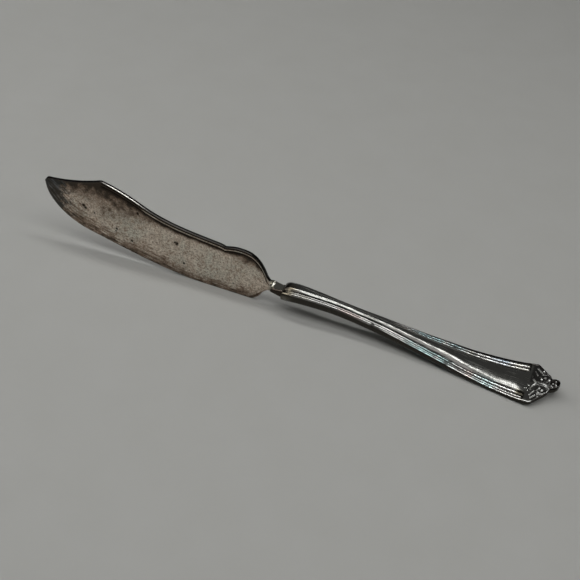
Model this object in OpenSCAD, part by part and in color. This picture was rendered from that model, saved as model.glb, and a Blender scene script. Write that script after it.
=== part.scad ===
// Master butter knife: an upright blade on a quarter-twisted neck, set in a hollow handle made of two
// struck halves. It lies as on a table: the edge of the blade and the back of the handle touch z = 0.
// +X runs to the handle's end, +Z is up, and the origin is under the middle of the knife.

/* [Blade] */
// Length of the blade from the nose to the neck
blade_len = 83.2; // [75:0.1:110]
// Height of the peak where the clip meets the spine
peak_h = 29.7; // [27.5:0.1:40]
// Distance of the peak behind the nose
peak_back = 21; // [18:0.5:26]
// Height of the clip's front corner
clip_h = 24.8; // [24:0.1:26]
// Height of the foremost point of the nose
nose_h = 22.9; // [20.5:0.1:23.4]
// Distance of the belly behind the nose
belly_back = 16; // [13:0.5:18]
// Height of the belly
belly_h = 7.5; // [5:0.1:9]
// Length of the straight edge in front of the heel
land_len = 15.5; // [12:0.5:19]
// Distance of the heel in front of the neck
heel_ahead = 6.9; // [6:0.1:8]
// Height of the lowest dip in the spine, the cusp
cusp_h = 18.5; // [17.5:0.1:19.3]
// Distance of the cusp in front of the neck
cusp_ahead = 17; // [15.5:0.1:21]
// Height of the hump behind the cusp
hump_h = 19.5; // [18.8:0.1:21]
// Distance of the hump's top in front of the neck
hump_ahead = 11.9; // [11:0.1:13.5]
// Thickness at the spine
spine_t = 1.4; // [1.2:0.05:2.2]
// Thickness at the blunt edge
edge_t = 0.7; // [0.5:0.05:1]
// Rounding of the spine's two edges
spine_round = 0.26; // [0.1:0.02:0.26]
// Distance of the first incised line from the spine
line_in = 0.6; // [0.5:0.05:0.9]
// Distance between the two incised lines
line_gap = 1.1; // [0.8:0.05:1.4]
// Width of an incised line
line_w = 0.42; // [0.2:0.02:0.46]
// Depth of an incised line
line_deep = 0.18; // [0.05:0.01:0.2]

/* [Neck and tang] */
// Length of the twisted neck
neck_len = 4.6; // [4:0.1:9]
// Height of the blade's root, where the neck begins
root_h = 4.1; // [3.8:0.1:5.5]
// Width of the neck where it meets the handle
neck_w = 4.2; // [3.2:0.1:5.4]
// Thickness of the neck where it meets the handle
neck_t = 3; // [2:0.1:3.2]
// Thickness of the neck's waist in the middle of the twist
neck_waist = 1.9; // [1.5:0.1:2.2]
// Length of the tang inside the handle
tang_len = 36; // [25:1:50]
// Width of the tang at the mouth
tang_w = 3; // [2.4:0.1:3.2]
// Width of the tang at its tip
tang_tip_w = 1.8; // [1.4:0.1:2.2]
// Thickness of the tang
tang_t = 1.1; // [0.8:0.05:1.2]
// Radius of the key notches in the tang's sides
notch_r = 0.35; // [0.2:0.05:0.45]

/* [Handle] */
// Length of the handle from the mouth to the finial
handle_len = 94.4; // [85:0.1:120]
// Width of the mouth
mouth_w = 5.7; // [5.2:0.1:6.2]
// Width of the shoulder behind the mouth
shoulder_w = 7.05; // [6.4:0.05:8]
// Length of the rounding from the mouth to the shoulder
shoulder_len = 2.4; // [2:0.1:3]
// Width at the waist
waist_w = 5.4; // [5:0.1:6.4]
// Distance of the waist behind the mouth
waist_back = 20; // [14:0.5:28]
// Width across the corners of the end
end_w = 18.6; // [15:0.1:22]
// Slope of each side, seen from above, as it reaches the corner
flare = 0.145; // [0.1:0.005:0.22]
// Length from the corners to the finial's root
point_len = 5.8; // [5:0.1:7]
// Width of the finial at its root
finial_w = 5.5; // [4.5:0.1:7]
// Length of the finial
finial_len = 2; // [1.5:0.1:3]
// Height of the back at the mouth
under_mouth = 6; // [5:0.1:6.5]
// Height of the back under the handle's arch
under_arch = 6.65; // [6:0.05:8]
// Distance of the arch behind the mouth
arch_back = 8; // [6:0.5:12]
// Distance behind the mouth of the place that rests on the table
rest_back = 76.5; // [70:0.5:78]
// Height of the back at the finial
under_tip = 3.5; // [2:0.1:5]
// Steepness of the upturned end at the finial
tip_slope = 0.55; // [0.4:0.01:0.58]
// Side height of the front half at the mouth
front_side = 1.55; // [1.4:0.05:2]
// Side height of the front half from the resting place on
front_tip_side = 0.8; // [0.75:0.05:1.2]
// Side height of the back half at the mouth
back_side = 1.45; // [1.3:0.05:2]
// Side height of the back half from the resting place on
back_tip_side = 0.8; // [0.75:0.05:1.2]
// Wall of the struck halves
wall = 0.5; // [0.4:0.05:0.6]
// Length of the end that is struck solid
solid_len = 18.4; // [17:0.2:22]
// Thickness of the plate in the mouth
plate_t = 1.2; // [0.8:0.1:1.5]
// Play of the tang in the plate
plate_play = 0.05; // [0.03:0.01:0.1]

/* [Relief] */
// Height of the central dome above the border at the wide end
dome_h = 0.85; // [0.6:0.05:1.3]
// Height of the central dome above the border where the handle widens
swell_dome_h = 1.1; // [0.7:0.05:1.3]
// Height of the central dome above the border at the waist
waist_dome_h = 0.65; // [0.4:0.05:1.1]
// Width of the reeded border at the corners
border_w = 4.05; // [2.2:0.05:4.2]
// Width of the reeded border at the waist
waist_border_w = 1.5; // [1.3:0.05:1.7]
// Slope at which the border rises towards the dome at the waist
border_slope = 0.3; // [0:0.02:0.4]
// Height of a reed at the corners
reed_h = 0.32; // [0.1:0.02:0.4]
// Rounding of the front's outer edge
edge_round = 0.5; // [0.2:0.05:0.6]
// Rounding of the back's outer edge
back_round = 0.6; // [0.2:0.05:0.7]
// Radius of a volute at the end
volute_r = 2.4; // [2:0.1:2.6]
// Height of the scrollwork
scroll_h = 0.35; // [0.3:0.05:0.7]

/* [Hidden] */

// Places along the knife, measured from the mouth
root_x = -neck_len;
nose_x = root_x - blade_len;
heel_x = root_x - heel_ahead;
corner_x = handle_len - finial_len - point_len;
finial_x = handle_len - finial_len;
solid_x = handle_len - solid_len;
middle_x = (handle_len + nose_x) / 2;

// Curves
function mix(a, b, t) = a + (b - a) * t;
function soft(t) = let(c = min(max(t, 0), 1)) c * c * (3 - 2 * c);
function hermite(a, b, ma, mb, x) =
    let(len = b[0] - a[0], t = (x - a[0]) / len, t2 = t * t, t3 = t2 * t)
    a[1] * (2 * t3 - 3 * t2 + 1) + b[1] * (3 * t2 - 2 * t3)
    + len * (ma * (t3 - 2 * t2 + t) + mb * (t3 - t2));
function run(a, b, ma, mb, n) =
    [for (i = [0 : n - 1]) let(x = mix(a[0], b[0], i / n)) [x, hermite(a, b, ma, mb, x)]];
function bezier(p, t) =
    let(s = 1 - t) s * s * s * p[0] + 3 * s * s * t * p[1] + 3 * s * t * t * p[2] + t * t * t * p[3];
function bend(p, n) = [for (i = [0 : n - 1]) bezier(p, i / n)];

// Heights of the back, the edge and the seam along the handle
mouth_slope = 0.2;
mouth_edge = 0.75;
finial_sweep = 68;
function side_mix(a, b, x) = mix(a, b, min(x / rest_back, 1));
function arc(t) = let(c = 1 - min(t, 1)) sqrt(1 - c * c);
function shoulder(x) = arc(x / shoulder_len);
function back_z(x) =
    x < arch_back ? hermite([0, under_mouth], [arch_back, under_arch], mouth_slope, 0, x)
    : x < rest_back ? hermite([arch_back, under_arch], [rest_back, 0], 0, 0, x)
    : hermite([rest_back, 0], [handle_len, under_tip], 0, tip_slope, x);
function seam_z(x) = back_z(x) + side_mix(back_side, back_tip_side, x);
function edge_z(x) =
    seam_z(x) + side_mix(front_side, front_tip_side, x) * mix(mouth_edge, 1, shoulder(x));
function half_w(x) =
    x < shoulder_len ? mix(mouth_w, shoulder_w, shoulder(x)) / 2
    : x < waist_back ? hermite([shoulder_len, shoulder_w / 2], [waist_back, waist_w / 2], 0, 0, x)
    : x < corner_x ? hermite([waist_back, waist_w / 2], [corner_x, end_w / 2], 0, flare, x)
    : x < finial_x ? mix(end_w, finial_w, (x - corner_x) / point_len) / 2
    : finial_w / 2 * cos(asin(min(1, (x - finial_x) / finial_len)) * finial_sweep / 90);
function width_share(x) = (2 * half_w(x) - waist_w) / (end_w - waist_w);
function border(x) = mix(waist_border_w, border_w, width_share(x)) * min(1, 2 * half_w(x) / waist_w);

// Sections along the handle, closer together at the mouth and over the scrolls
mouth_steps = 3;
shoulder_steps = 3;
body_steps = 25;
scroll_steps = 14;
point_steps = 9;
finial_steps = 5;
stations = concat(
    [for (i = [0 : mouth_steps - 1]) plate_t * i / mouth_steps],
    [for (i = [0 : shoulder_steps - 1]) mix(plate_t, shoulder_len + plate_t, i / shoulder_steps)],
    [for (i = [0 : body_steps - 1]) mix(shoulder_len + plate_t, solid_x, i / body_steps)],
    [for (i = [0 : scroll_steps - 1]) mix(solid_x, corner_x, i / scroll_steps)],
    [for (i = [0 : point_steps - 1]) mix(corner_x, finial_x, i / point_steps)],
    [for (i = [0 : finial_steps]) finial_x + finial_len * sin(90 * i / finial_steps)]
);
hollow_end = mouth_steps + shoulder_steps + body_steps;

// Lines across the handle: shares of the border, then of the dome, counted in from each edge
border_lines = [0, 0.04, 0.12, 0.2, 0.3, 0.4, 0.5, 0.6, 0.7, 0.8, 0.9];
dome_lines = [0, 0.1, 0.25, 0.45, 0.65, 0.85];
line_count = 2 * (len(border_lines) + len(dome_lines)) + 1;
last_line = line_count - 1;
function line_in_from_edge(x, k) =
    let(b = border(x), n = len(border_lines))
    k < n ? b * border_lines[k]
    : k < n + len(dome_lines) ? mix(b, half_w(x), dome_lines[k - n])
    : half_w(x);
function line_y(x, k) =
    k * 2 <= last_line ? line_in_from_edge(x, k) - half_w(x)
    : half_w(x) - line_in_from_edge(x, last_line - k);
function edge_gap(x, k) = line_in_from_edge(x, min(k, last_line - k));

// Relief of the front
dome_ahead = 1.5;
dome_fade = 9;
dome_in = 4.2;
reed_ahead = 1.9;
reed_start = 1.5;
reed_in = 6;
reed_out = 1.6;
reed_sweep = 450;
swell_share = 0.4;
crown_share = 0.3;
edge_fade = 1.2;
volute_back = 3;
volute_in = 6.5;
rim_in = 0.5;
rim_w = 0.9;
eye_r = 1.1;
bud_len = 2.4;
bud_w = 1.5;
bud_out = 1.4;
bud_rise = 1.3;
dome_end = corner_x - dome_ahead;
reed_end = corner_x - reed_ahead;
volute_x = corner_x + volute_back;
volute_y = end_w / 2 - volute_in;
function mouth_rise(x) = arc(x / dome_in);
function dome_height(share) =
    share < swell_share ? mix(waist_dome_h, swell_dome_h, max(share, 0) / swell_share)
    : mix(swell_dome_h, dome_h, (share - swell_share) / (1 - swell_share));
function dome(x, gap) =
    let(b = border(x), s = min(max((gap - b) / (half_w(x) - b), 0), 1))
    dome_height(width_share(x)) * (1 - (1 - s) * (1 - s)) * mouth_rise(x) * soft((dome_end - x) / dome_fade);
function crown(x, gap) =
    border_slope * max(0, 1 - max(width_share(x), 0) / crown_share) * min(border(x), gap) * mouth_rise(x);
// Half a reed lies on the edge and two whole ones inside it
function reeds(x, gap) =
    let(b = border(x))
    gap > b ? 0
    : reed_h * b / border_w * abs(cos(reed_sweep * gap / b))
      * soft((x - reed_start) / reed_in) * soft((reed_end - x) / reed_out);
function ridge(d, w) = abs(d) > w ? 0 : (1 + cos(180 * d / w)) / 2;
function scrolls(x, y) =
    let(r = norm([x - volute_x, abs(y) - volute_y]),
        bud = norm([(x - finial_x) / bud_len, (abs(y) - bud_out) / bud_w]))
    scroll_h * max(ridge(r - volute_r + rim_in, rim_w), ridge(r, eye_r), bud_rise * ridge(bud, 1));
function front_z(x, k) =
    let(gap = edge_gap(x, k), y = line_y(x, k))
    edge_z(x) - edge_round * (1 - arc(gap / edge_round))
    + dome(x, gap) + crown(x, gap) + reeds(x, gap) + soft(gap / edge_fade) * scrolls(x, y);

// Seams and hollow: the halves meet on a land along the edge and are hollow inside it
land_line = 4;
function on_land(k) = min(k, last_line - k) <= land_line;
function front_inner_z(i, k) =
    let(x = stations[i], gap = edge_gap(x, k))
    on_land(k) || i > hollow_end ? seam_z(x) : edge_z(x) - wall + dome(x, gap) + crown(x, gap);
function back_inner_z(i, k) =
    let(x = stations[i])
    on_land(k) || i > hollow_end ? seam_z(x) : back_z(x) + wall;
function back_outer_z(i, k) =
    let(x = stations[i], land = border(x) * border_lines[land_line])
    back_z(x) + back_round * (1 - arc(edge_gap(x, k) / land));

top_lines = [for (k = [0 : last_line]) k];
inner_lines = [for (k = [0 : 2 : last_line]) k];
back_lines = concat([0, 2, 4, 8, 12], [for (k = [12, 8, 4, 2, 0]) last_line - k]);
core_lines = [for (k = inner_lines) if (k >= land_line && k <= last_line - land_line) k];
core_back_lines = [for (k = back_lines) if (k > land_line && k < last_line - land_line) k];

// Solids from rings of points. A ring runs clockwise when it is seen from the handle's end.
function walls(rings, n) =
    [for (i = [0 : rings - 2], j = [0 : n - 1])
        let(k = (j + 1) % n, a = i * n + j, b = i * n + k)
        each [[a, b, b + n], [a, b + n, a + n]]];
function fan(first, n) = [for (j = [1 : n - 2]) [first, first + j, first + j + 1]];
function web(first, upper, lower) =
    let(share = (upper - 1) / (lower - 1), half = ceil(share / 2))
    [for (j = [0 : lower - 2])
        let(a = first + j * share, b = first + upper + lower - 1 - j)
        each concat(
            [for (s = [0 : share - 1]) [s < half ? b : b - 1, a + s, a + s + 1]],
            [[b, a + half, b - 1]])];
function flip(faces) = [for (f = faces) [f[0], f[2], f[1]]];
function back_to_front(list) = [for (i = [len(list) - 1 : -1 : 0]) list[i]];

module rings_solid(rings, ends) {
    polyhedron([for (r = rings) each r], concat(walls(len(rings), len(rings[0])), ends), convexity = 8);
}

// Half of the handle, from its upper and its lower line at every section
module handle_half(upper, lower) {
    rings = [for (i = [0 : len(stations) - 1]) concat(upper[i], back_to_front(lower[i]))];
    last = (len(stations) - 1) * len(rings[0]);
    ends = concat(flip(web(0, len(upper[0]), len(lower[0]))), web(last, len(upper[0]), len(lower[0])));
    rings_solid(rings, ends);
}

// What fills the space inside the two halves from one section to another
module core(from, to) {
    rings = [for (i = [from : to])
        let(x = stations[i])
        concat(
            [for (k = core_lines) [x, line_y(x, k), front_inner_z(i, k)]],
            [for (k = back_to_front(core_back_lines)) [x, line_y(x, k), back_inner_z(i, k)]])];
    n = len(rings[0]);
    rings_solid(rings, concat(flip(fan(0, n)), fan((to - from) * n, n)));
}

// Middle of the hollow, which the neck and the tang follow
function core_z(x) = let(c = max(x, 0)) (back_z(c) + edge_z(c) + dome(c, half_w(c)) / 2) / 2;

// Outline of the blade as two rails, with one point on each for every section
nose_round = 1.5;
peak_round = 1;
peak_fore_drop = 0.2;
peak_aft_drop = 0.1;
sway_along = 0.32;
sway_up = 0.55;
lip_len = 2.1;
lip_h = 0.6;
heel_rise = 3.4;
neck_rise = 0.65;
throat_len = 1.4;
throat_drop = 1.7;
nose = [nose_x, nose_h];
clip_start = [nose_x + nose_round, clip_h];
peak_fore = [nose_x + peak_back - peak_round, peak_h - peak_fore_drop];
peak_aft = [nose_x + peak_back + peak_round, peak_h - peak_aft_drop];
cusp = [root_x - cusp_ahead, cusp_h];
lip = [cusp[0] - lip_len, cusp_h + lip_h];
sway = [mix(peak_aft[0], lip[0], sway_along), mix(lip[1], peak_aft[1], sway_up)];
hump = [root_x - hump_ahead, hump_h];
belly = [nose_x + belly_back, belly_h];
land = [heel_x - land_len, 0];
heel = [heel_x, 0];
heel_top = [heel_x + heel_rise, heel_rise];
root_mid = core_z(0) + neck_rise;
root_top = [root_x, root_mid + root_h / 2];
root_low = [root_x, root_mid - root_h / 2];
throat = root_top + [-throat_len, throat_drop];

// Slopes of the outline where its stretches meet
nose_slope = 0.1;
clip_slope = 0.42;
peak_slope = -0.22;
sway_slope = -0.47;
lip_slope = -0.1;
cusp_slope = -0.75;
hump_rise = 0.3;
hump_slope = -2.2;
root_slope = -0.5;
belly_slope = -0.24;
heel_slope = 6;
shank_slope = 0.1;

// How far each rounding holds to the direction it starts or ends in
nose_pull = 1.4;
clip_pull = 0.9;
peak_pull = 0.7;
lip_pull = 1.1;
cusp_pull = 0.4;
nose_drop = 6.8;
belly_pull = 8.3;
heel_pull = 2.2;
heel_end_pull = 0.2;
throat_pull = 0.35;
root_pull = 0.6;
shank_pull = 1.5;

tip_share = 0.25;
tip_crowding = 1.3;
nose_steps = 5;
clip_steps = 10;
peak_steps = 4;
spine_steps = 8;
sway_steps = 12;
lip_steps = 5;
cusp_steps = 6;
hump_steps = 12;
throat_steps = 5;
heel_steps = 9;
fore_steps = nose_steps + clip_steps + peak_steps;
nose_curve = [nose, nose + [0, nose_pull], clip_start - [1, nose_slope] * clip_pull, clip_start];
peak_curve = [peak_fore, peak_fore + [1, clip_slope] * peak_pull,
              peak_aft - [1, peak_slope] * peak_pull, peak_aft];
lip_curve = [lip, lip + [1, lip_slope] * lip_pull, cusp - [1, cusp_slope] * cusp_pull, cusp];
belly_curve = [nose, nose - [0, nose_drop], belly - [1, belly_slope] * belly_pull, belly];
heel_curve = [heel, heel + [heel_pull, 0], heel_top - [1, heel_slope] * heel_end_pull, heel_top];
throat_top_curve = [throat, throat + [1, hump_slope] * throat_pull,
                    root_top - [1, root_slope] * root_pull, root_top];
throat_low_curve = [heel_top, heel_top + [1, heel_slope] * heel_end_pull,
                    root_low - [1, shank_slope] * shank_pull, root_low];
upper_rail = concat(
    [for (i = [0 : nose_steps - 1]) bezier(nose_curve, mix(tip_share, 1, i / nose_steps))],
    run(clip_start, peak_fore, nose_slope, clip_slope, clip_steps),
    bend(peak_curve, peak_steps),
    run(peak_aft, sway, peak_slope, sway_slope, spine_steps),
    run(sway, lip, sway_slope, lip_slope, sway_steps),
    bend(lip_curve, lip_steps),
    run(cusp, hump, hump_rise, 0, cusp_steps),
    run(hump, throat, 0, hump_slope, hump_steps),
    bend(throat_top_curve, throat_steps),
    [root_top]
);
lower_rail = concat(
    [for (i = [1 : fore_steps]) bezier(belly_curve, pow(i / (fore_steps + 1), tip_crowding))],
    run(belly, land, belly_slope, 0, spine_steps + sway_steps),
    [for (i = [0 : lip_steps + cusp_steps - 1]) mix(land, heel, i / (lip_steps + cusp_steps))],
    bend(heel_curve, heel_steps),
    bend(throat_low_curve, hump_steps + throat_steps - heel_steps),
    [root_low]
);

// Section of the blade, down the front and up the back: distance below the spine and half thickness
edge_bevel = 1.4;
foot_taper = 0.6;
full_depth = 8;
fade_in = 3;
fade_out = 4;
face_lines = [0.5, 0.75];
last_rail = len(upper_rail) - 1;
function line_fade(j) =
    soft((j - fore_steps + fade_in - 1) / fade_in) * soft((last_rail - fade_out / 2 - j) / fade_out);
function bevel_at(h) = min(edge_bevel, h / 4);
function half_t(d, h) =
    let(bevel = bevel_at(h), foot = mix(spine_t, edge_t, foot_taper) / 2)
    d > h - bevel ? mix(foot, edge_t / 2, (d - h + bevel) / bevel)
    : mix(spine_t / 2, foot, d / (h - bevel));
function blade_section(j) =
    let(h = norm(upper_rail[j] - lower_rail[j]), s = min(1, h / full_depth),
        a = line_in, b = line_in + line_gap, w = line_w / 2, cut = line_deep * line_fade(j),
        bevel = bevel_at(h),
        front = [[0, spine_round], [spine_round, 0], [a - w, 0], [a, cut], [a + w, 0], [b - w, 0], [b, cut],
                 [b + w, 0]],
        down = [for (p = front) [p[0] * s, half_t(p[0] * s, h) - p[1]]],
        lower = [for (d = [each face_lines * h, h - bevel, h]) [d, half_t(d, h)]],
        rise = [for (d = [h, h - bevel, face_lines[0] * h, spine_round * s]) [d, -half_t(d, h)]])
    concat(down, lower, rise, [[0, spine_round - half_t(0, h)]]);
section_size = len(blade_section(0));
back_size = 5;
front_size = section_size - back_size;
function blade_ring(j) =
    let(u = upper_rail[j], l = lower_rail[j], down = (l - u) / norm(l - u))
    [for (p = blade_section(j)) [u[0] + down[0] * p[0], -p[1], u[1] + down[1] * p[0]]];

// The neck: its section grows out of the blade's, turns a quarter and fills out towards the mouth
neck_steps = 12;
oval_gap = 12;
oval_power = 0.42;
turn_start = -0.05;
turn_share = 0.7;
widen = 1.5;
function oval_angle(k) =
    k < front_size ? mix(oval_gap, 180 - oval_gap, k / (front_size - 1))
    : mix(180 + oval_gap, 360 - oval_gap, (k - front_size) / (back_size - 1));
function boxy(c) = sign(c) * pow(abs(c), oval_power);
function neck_ring(i) =
    let(t = i / neck_steps, from = blade_section(last_rail),
        turn = 90 * soft((t - turn_start) / turn_share),
        a = mix(root_h, neck_w, soft(t * widen)) / 2,
        b = mix(neck_waist, neck_t, soft(t * 2 - 1)) / 2,
        grow = soft(t * 2), z = mix(root_mid, core_z(0), soft(t)))
    [for (k = [0 : section_size - 1])
        let(p = mix(root_h / 2 - from[k][0], a * boxy(cos(oval_angle(k))), grow),
            q = mix(from[k][1], b * boxy(sin(oval_angle(k))), grow))
        [mix(root_x, 0, t), p * sin(turn) - q * cos(turn), z + p * cos(turn) + q * sin(turn)]];

// The tang, bent to the handle's arch, tapered and notched so that the cement holds it
tang_root = 1.5;
tang_steps = 14;
notch_at = 0.7;
tang_xs = [-tang_root, each [for (i = [0 : tang_steps]) tang_len * i / tang_steps]];
module tang(play) {
    t = tang_t / 2 + play;
    intersection() {
        rotate([90, 0, 0]) linear_extrude(height = tang_w + 2 * play, center = true)
            polygon(concat(
                [for (x = tang_xs) [x, core_z(x) - t]],
                [for (x = back_to_front(tang_xs)) [x, core_z(x) + t]]));
        linear_extrude(height = peak_h) difference() {
            polygon([
                [-tang_root, -tang_w / 2 - play], [tang_len, -tang_tip_w / 2 - play],
                [tang_len, tang_tip_w / 2 + play], [-tang_root, tang_w / 2 + play]]);
            for (side = [-1, 1])
                translate([notch_at * tang_len, side * mix(tang_w, tang_tip_w, notch_at) / 2])
                    circle(r = notch_r, $fn = 24);
        }
    }
}

module centred() { translate([-middle_x, 0, 0]) children(); }

module blade() {
    rings = concat(
        [for (j = [0 : last_rail]) back_to_front(blade_ring(j))],
        [for (i = [1 : neck_steps]) back_to_front(neck_ring(i))]);
    n = section_size;
    count = len(rings) * n;
    tip = [for (k = [0 : n - 1]) [count, (k + 1) % n, k]];
    color("#8f877a") centred() {
        polyhedron(
            concat([for (r = rings) each r], [[nose[0], 0, nose[1]]]),
            concat(walls(len(rings), n), tip, fan(count - n, n)), convexity = 8);
        tang(0);
    }
}

module mouth_plate() {
    color("#b9b4a6") centred() difference() {
        core(0, mouth_steps);
        tang(plate_play);
    }
}

module handle_front() {
    upper = [for (x = stations) [for (k = top_lines) [x, line_y(x, k), front_z(x, k)]]];
    lower = [for (i = [0 : len(stations) - 1])
        let(x = stations[i]) [for (k = inner_lines) [x, line_y(x, k), front_inner_z(i, k)]]];
    color("#d8d8d4") centred() handle_half(upper, lower);
}

module handle_back() {
    upper = [for (i = [0 : len(stations) - 1])
        let(x = stations[i]) [for (k = back_lines) [x, line_y(x, k), back_inner_z(i, k)]]];
    lower = [for (i = [0 : len(stations) - 1])
        let(x = stations[i]) [for (k = back_lines) [x, line_y(x, k), back_outer_z(i, k)]]];
    color("#c9c9c4") centred() handle_half(upper, lower);
}

module handle_cement() {
    color("#3a332c") centred() difference() {
        core(mouth_steps, hollow_end);
        tang(0);
    }
}

blade();
mouth_plate();
handle_front();
handle_back();
handle_cement();
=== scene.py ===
import math

import bmesh
import bpy
from mathutils import Matrix, Vector


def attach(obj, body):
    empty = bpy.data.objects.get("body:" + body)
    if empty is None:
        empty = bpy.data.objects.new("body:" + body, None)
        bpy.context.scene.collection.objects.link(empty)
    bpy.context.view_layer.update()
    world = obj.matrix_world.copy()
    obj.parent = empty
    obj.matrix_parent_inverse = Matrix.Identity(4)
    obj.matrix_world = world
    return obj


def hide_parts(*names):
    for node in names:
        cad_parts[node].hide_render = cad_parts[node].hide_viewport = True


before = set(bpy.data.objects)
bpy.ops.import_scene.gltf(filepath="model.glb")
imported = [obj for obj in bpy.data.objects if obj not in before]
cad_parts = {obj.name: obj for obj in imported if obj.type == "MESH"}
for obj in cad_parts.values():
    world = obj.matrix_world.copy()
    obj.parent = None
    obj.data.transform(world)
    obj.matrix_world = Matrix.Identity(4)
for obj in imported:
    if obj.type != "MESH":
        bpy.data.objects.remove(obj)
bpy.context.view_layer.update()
mm = 0.001
middle = 3.3  # mm from the handle's mouth to the middle of the knife
print("frame loaded:", ", ".join(sorted(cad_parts)))


def mix(a, b, t):
    return a + (b - a) * t


def clamp(t):
    return min(max(t, 0.0), 1.0)


def soft(t):
    t = clamp(t)
    return t * t * (3 - 2 * t)


def ramp(x, start, run):
    return soft((x - start) / run)  # 0 at the start and 1 at the end of the run, which goes back if negative


def arc(t):
    return math.sqrt(max(0.0, 1 - (1 - clamp(t)) ** 2))  # quarter round, 0 to 1


def hermite(a, b, slopeA, slopeB, x):
    span = b[0] - a[0]
    t = (x - a[0]) / span
    return (a[1] * (2 * t**3 - 3 * t**2 + 1) + b[1] * (3 * t**2 - 2 * t**3)
            + span * (slopeA * (t**3 - 2 * t**2 + t) + slopeB * (t**3 - t**2)))


def ridge(distance, width):
    return 0.0 if distance >= width else 0.5 + 0.5 * math.cos(math.pi * distance / width)


def lookUp(pairs, x):
    for (x0, y0), (x1, y1) in zip(pairs, pairs[1:]):
        if x <= x1:
            return mix(y0, y1, clamp((x - x0) / (x1 - x0)))
    return pairs[-1][1]


def nearLine(points, x, y):
    best = 1e9
    for (x0, y0), (x1, y1) in zip(points, points[1:]):
        dx, dy = x1 - x0, y1 - y0
        t = clamp(((x - x0) * dx + (y - y0) * dy) / (dx * dx + dy * dy))
        best = min(best, math.hypot(x - x0 - dx * t, y - y0 - dy * t))
    return best


def hexColor(code):
    channels = [int(code[i:i + 2], 16) / 255 for i in (1, 3, 5)]
    return [c / 12.92 if c <= 0.04045 else ((c + 0.055) / 1.055) ** 2.4 for c in channels] + [1]


def finishPiece(bm, name, node, sharp=38):
    bmesh.ops.remove_doubles(bm, verts=bm.verts[:], dist=0.002 * mm)
    bmesh.ops.dissolve_degenerate(bm, dist=0.001 * mm, edges=bm.edges[:])
    bmesh.ops.recalc_face_normals(bm, faces=bm.faces[:])
    mesh = bpy.data.meshes.new(name)
    bm.to_mesh(mesh)
    bm.free()
    mesh.polygons.foreach_set("use_smooth", [True] * len(mesh.polygons))
    mesh.set_sharp_from_angle(angle=math.radians(sharp))
    piece = bpy.data.objects.new(name, mesh)
    bpy.context.scene.collection.objects.link(piece)
    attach(piece, "root")
    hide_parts(node)
    print(name, "made:", len(mesh.polygons), "faces")
    return piece


# handle: both struck halves follow the same outline. Places are mm from the mouth, and the names that end in
# From and To hold a place and the run of the change that starts there, back towards the mouth if negative
handle = dict(
    length=94.4, mouthW=5.7, shoulderW=7.05, shoulderLen=2.4, waistW=5.4, waistAt=20, endW=18.6, flare=0.13,
    pointLen=5.8, cornerRound=1.0, finialW=5.5, finialLen=2, budAt=91.9, budLen=2.5, budRise=0.3,
    budSwell=1.1, notchAt=91.4, notchRun=0.9, notchDeep=0.04, notchPast=0.2,
    underMouth=6, mouthSlope=0.2, underArch=6.65, archAt=8, restAt=76.5, underTip=3.5, tipSlope=0.55,
    frontSide=(1.55, 0.8), backSide=(1.45, 0.8), mouthEdge=0.75,
    midRise=0.25, midFrom=(25, 12), midTo=(66, -10), wall=0.5, solidAt=76.0, solidRun=0.7,
    border=(1.5, 4.05), borderColumns=0.45, borderTilt=0.3, tiltShare=0.3, landShare=(0.3, 0.5),
    domeH=[(0, 0.65), (0.4, 1.1), (0.75, 0.7), (1, 0.72)], domeIn=2.4, domeFade=4.5, domeShort=1.5,
    flankW=0.5, flankPower=1.35, flankFrom=(73, 5), dieShift=0.3, dieFrom=(55, 15),
    barrelTo=(3, 10), barrelPower=2.3, barrelNear=0.2, barrelRound=0.4,
    reeds=2.5, reedShare=0.08, reedFrom=(0.4, 4), reedOut=1.2, reedShort=1.9,
    farReed=0.3, farReedFrom=(25, 20),
    edgeRound=(0.5, 0.14), edgeSlope=0.33, edgeW=0.36, flatFrom=(31, 6), flatPast=0.8,
    backRound=0.6, mouthRound=0.25, tipRound=0.4,
)
finialAt = handle["length"] - handle["finialLen"]
cornerAt = finialAt - handle["pointLen"]
domeEnd = cornerAt - handle["domeShort"]
reedEnd = cornerAt - handle["reedShort"]


def shoulderRise(u):
    return arc(u / handle["shoulderLen"])


def backHeight(u):
    mouth, arch = (0, handle["underMouth"]), (handle["archAt"], handle["underArch"])
    rest, tip = (handle["restAt"], 0), (handle["length"], handle["underTip"])
    if u < arch[0]:
        return hermite(mouth, arch, handle["mouthSlope"], 0, u)
    if u < rest[0]:
        return hermite(arch, rest, 0, 0, u)
    return hermite(rest, tip, 0, handle["tipSlope"], u)


def seamHeight(u):
    return backHeight(u) + mix(*handle["backSide"], clamp(u / handle["restAt"]))


def edgeHeight(u):
    side = mix(*handle["frontSide"], clamp(u / handle["restAt"]))
    # fuller between the waist and the flare
    side += handle["midRise"] * ramp(u, *handle["midFrom"]) * ramp(u, *handle["midTo"])
    return seamHeight(u) + side * mix(handle["mouthEdge"], 1, shoulderRise(u))


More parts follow.
